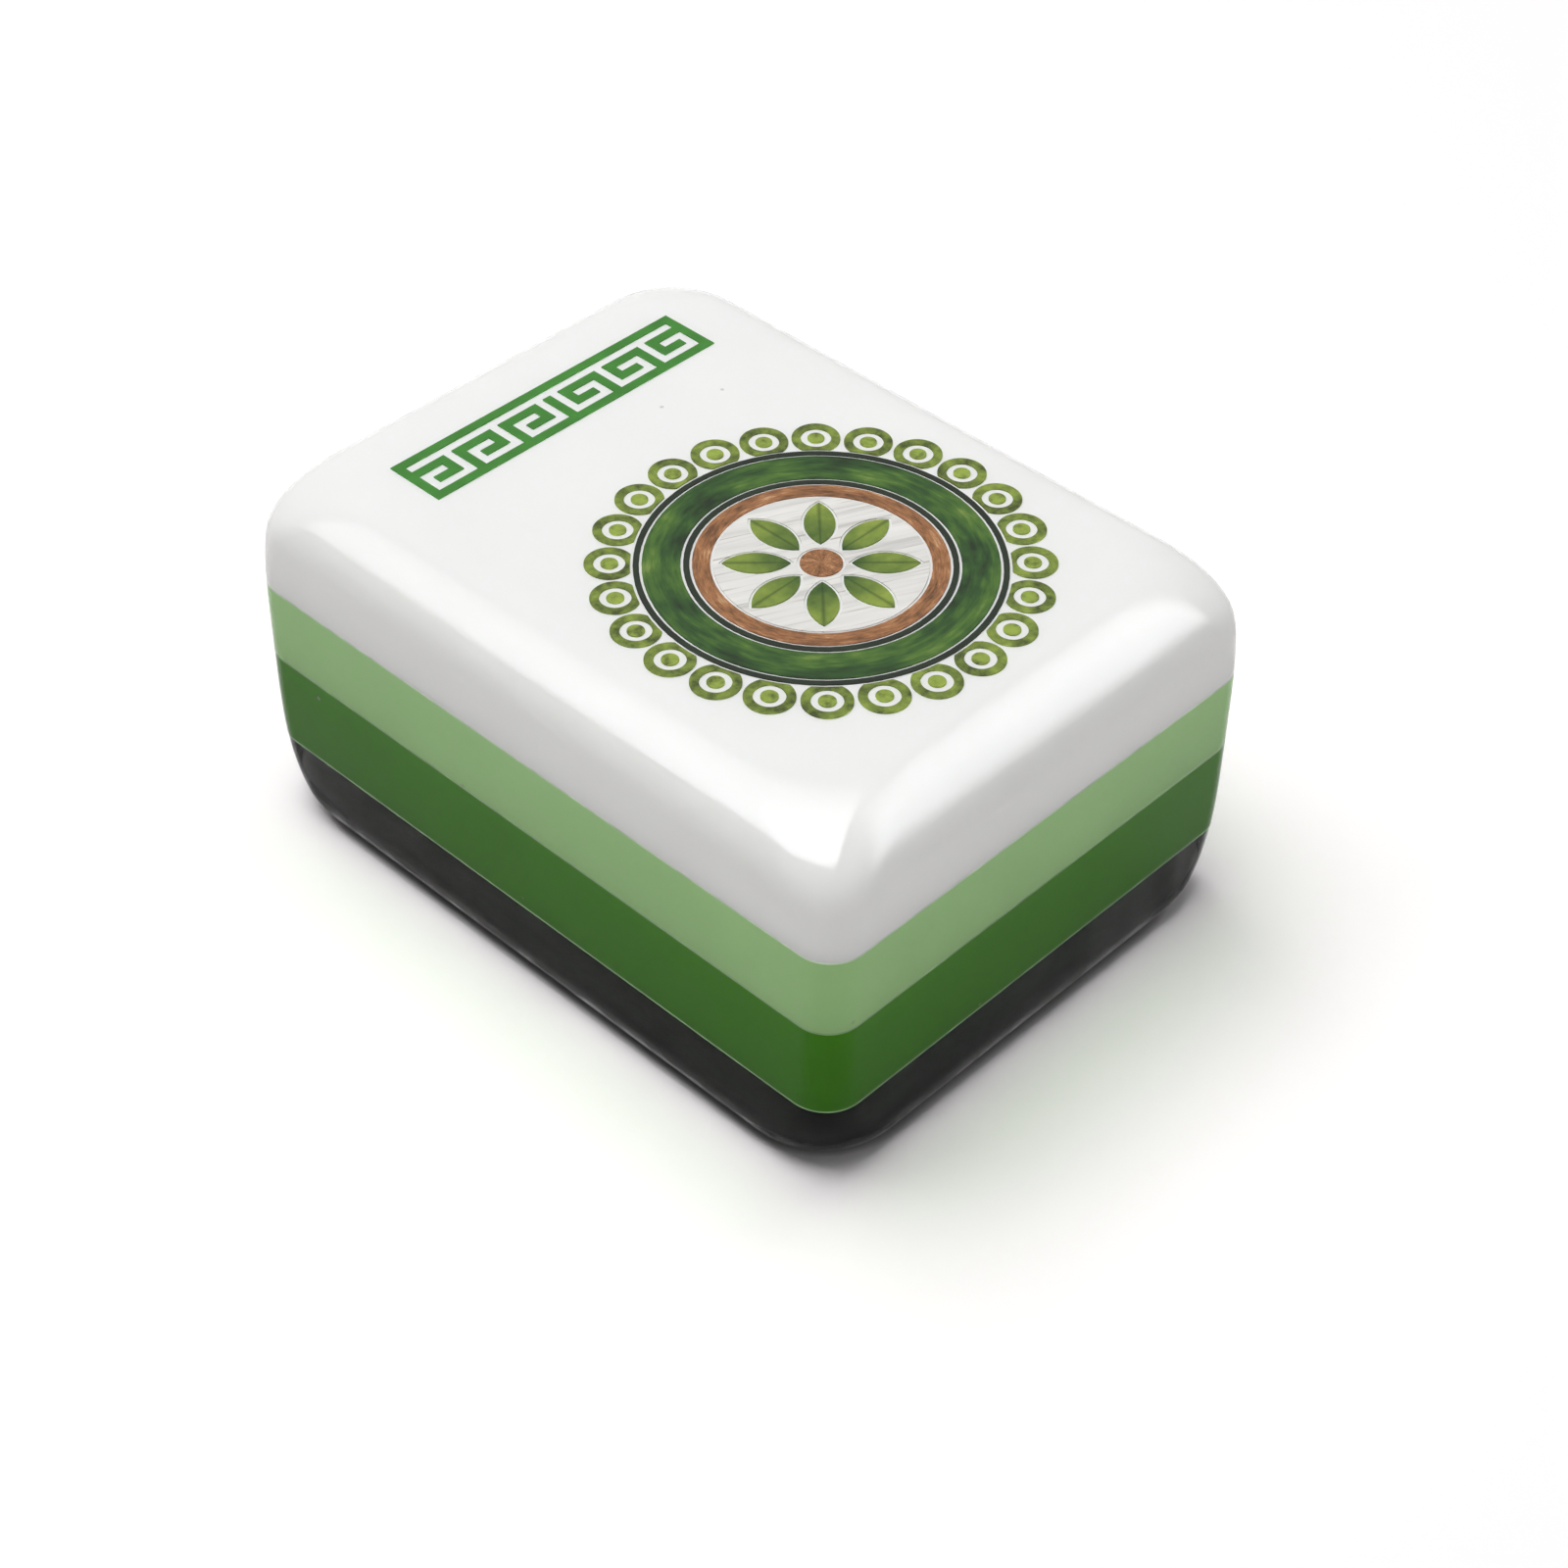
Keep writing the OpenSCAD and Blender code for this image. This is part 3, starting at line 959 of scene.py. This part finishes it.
def place_card(name, place, turn, card_size, light):
    """A card that polished surfaces show, and that lights nothing."""
    deselect_all()
    bpy.ops.mesh.primitive_plane_add(size=1, location=place, rotation=turn)
    card = bpy.context.object
    card.name = card.data.name = name
    card.scale = (card_size[0], card_size[1], 1)
    card.data.materials.append(light)
    card.visible_camera = False
    card.visible_diffuse = False
    card.visible_transmission = False
    card.visible_volume_scatter = False
    card.visible_shadow = False


def place_cards(stage):
    """Two cards that show in the polish of the rounded edge, over the long near side and the near end."""
    height = stage.side_card_height
    place = Vector((stage.side_card_place[0] * height, stage.side_card_place[1] * height, height))
    light = card_light("side_card", stage.side_card_level, **SIDE_CARD_FADE)
    turn = (0, 0, stage.side_card_turn)
    place_card("side_card", place, turn, Vector(stage.side_card_size) * height, light)
    direction = Vector(stage.end_card_direction).normalized()
    upwards = direction.cross(Vector((1, 0, 0))).normalized()
    turn = Matrix((upwards.cross(-direction), upwards, -direction)).transposed().to_euler()
    light = card_light("end_card", stage.end_card_level, **END_CARD_FADE)
    distance = stage.end_card_distance
    place_card("end_card", direction * distance, turn, Vector(stage.end_card_size) * distance, light)


class TILE_OT_stage(Operator):
    """Lays the floor, sets the light and places the camera"""

    bl_idname = "tile.stage"
    bl_label = "Stage"

    def execute(self, context):
        _, _, stage = tile_settings(context)
        deselect_all()
        bpy.ops.mesh.primitive_plane_add(size=stage.floor_width, enter_editmode=True)
        floor = bpy.context.object
        floor.name = floor.data.name = "studio_floor"
        bpy.ops.transform.translate(value=(0, 0, -stage.floor_gap))
        bpy.ops.object.mode_set(mode="OBJECT")
        floor.data.materials.append(studio_floor(stage))
        context.scene.world = studio_world(stage)
        place_key(stage)
        place_cards(stage)
        context.scene.camera = place_camera(stage)
        context.scene.view_settings.view_transform = "Standard"
        return {"FINISHED"}


class TILE_PT_tile(Panel):
    """Lists the steps that make the tile, and its settings"""

    bl_label = "Laminated game tile"
    bl_space_type = "VIEW_3D"
    bl_region_type = "UI"
    bl_category = "Tile"

    def draw(self, context):
        for step in STEPS:
            self.layout.operator(step.bl_idname)
        for group in tile_settings(context):
            box = self.layout.box()
            for name in group.__annotations__:
                box.prop(group, name)


STEPS = (
    TILE_OT_face_slab,
    TILE_OT_green_sheets,
    TILE_OT_smoke_slab,
    TILE_OT_glue_lines,
    TILE_OT_fret_band,
    TILE_OT_round_design,
    TILE_OT_stage,
)
GROUPS = {"tile_shape": TileShape, "tile_colours": TileColours, "tile_stage": TileStage}
CLASSES = (*GROUPS.values(), *STEPS, TILE_PT_tile)


def register():
    """Registers the classes and hangs the property groups on the scene."""
    for one in CLASSES:
        bpy.utils.register_class(one)
    for name, group in GROUPS.items():
        setattr(bpy.types.Scene, name, PointerProperty(type=group))


def unregister():
    """Takes off what register put on."""
    for name in GROUPS:
        delattr(bpy.types.Scene, name)
    for one in reversed(CLASSES):
        bpy.utils.unregister_class(one)


def main():
    """Makes the tile and its stage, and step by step."""
    register()
    for step in STEPS:
        group, name = step.bl_idname.split(".")
        getattr(getattr(bpy.ops, group), name)()


if __name__ == "__main__":
    main()
